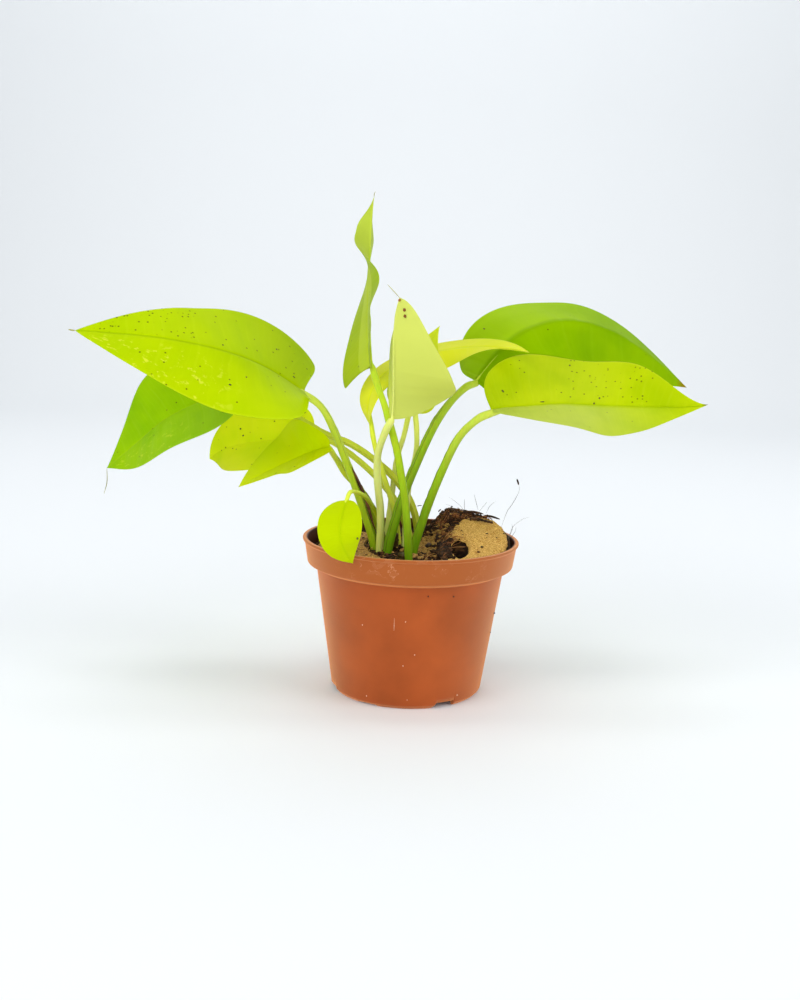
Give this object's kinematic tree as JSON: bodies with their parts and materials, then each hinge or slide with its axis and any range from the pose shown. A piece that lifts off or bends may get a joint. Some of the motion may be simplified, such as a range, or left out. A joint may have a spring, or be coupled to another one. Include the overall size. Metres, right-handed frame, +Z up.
{
  "type": "potted neon pothos",
  "caption": "Young trailing house plant with heart-shaped chartreuse leaves on long arching petioles, rooted in a tapered plastic nursery pot topped with pressed-fibre mulch.",
  "frame": {"origin": "middle of the pot's underside, on the flat pad that it stands on", "axes": "+Z up along the pot's axis, +X to the plant's right and -Y to its front, as pictured"},
  "size_m": [0.2945, 0.121, 0.2371],
  "materials": {
    "pot_plastic": "satin injection-moulded polypropylene, terracotta brown, scuffed at the rim",
    "potting_mix": "dark moist peat and coir fibre, rough",
    "mulch_mat_sandy": "dry pressed coir mat, sandy tan, torn edges",
    "mulch_mat_brown": "damp pressed coir mat, brown, crumbly",
    "bark": "rough dark bark and twig",
    "stem": "smooth waxy vine stem, olive green",
    "leaf_bright": "waxy satin leaf, chartreuse",
    "leaf_green": "waxy satin leaf, lime green",
    "leaf_yellow": "waxy satin leaf, yellow-green",
    "leaf_pale": "thin young leaf, pale yellow-green, slightly translucent"
  },
  "bodies": {
    "root": {"pot": "pot_plastic", "potting_mix": "potting_mix", "mulch_mat_right": "mulch_mat_sandy", "mulch_mat_left": "mulch_mat_brown", "bark_chip_front": "bark", "bark_chip_middle": "bark", "bark_chip_rear": "bark", "twig": "bark", "vine_stub_left": "stem", "vine_stub_front": "stem", "leaf_left_large": "leaf_bright", "leaf_left_hanging": "leaf_green", "leaf_left_middle": "leaf_yellow", "leaf_left_pointed": "leaf_bright", "leaf_rim_small": "leaf_bright", "leaf_tall_twisted": "leaf_bright", "leaf_centre_pale": "leaf_pale", "leaf_arching": "leaf_yellow", "leaf_right_rear": "leaf_green", "leaf_right_front": "leaf_bright", "leaf_centre_spike": "leaf_yellow", "leaf_rear_young": "leaf_pale"}
  },
  "joints": []
}
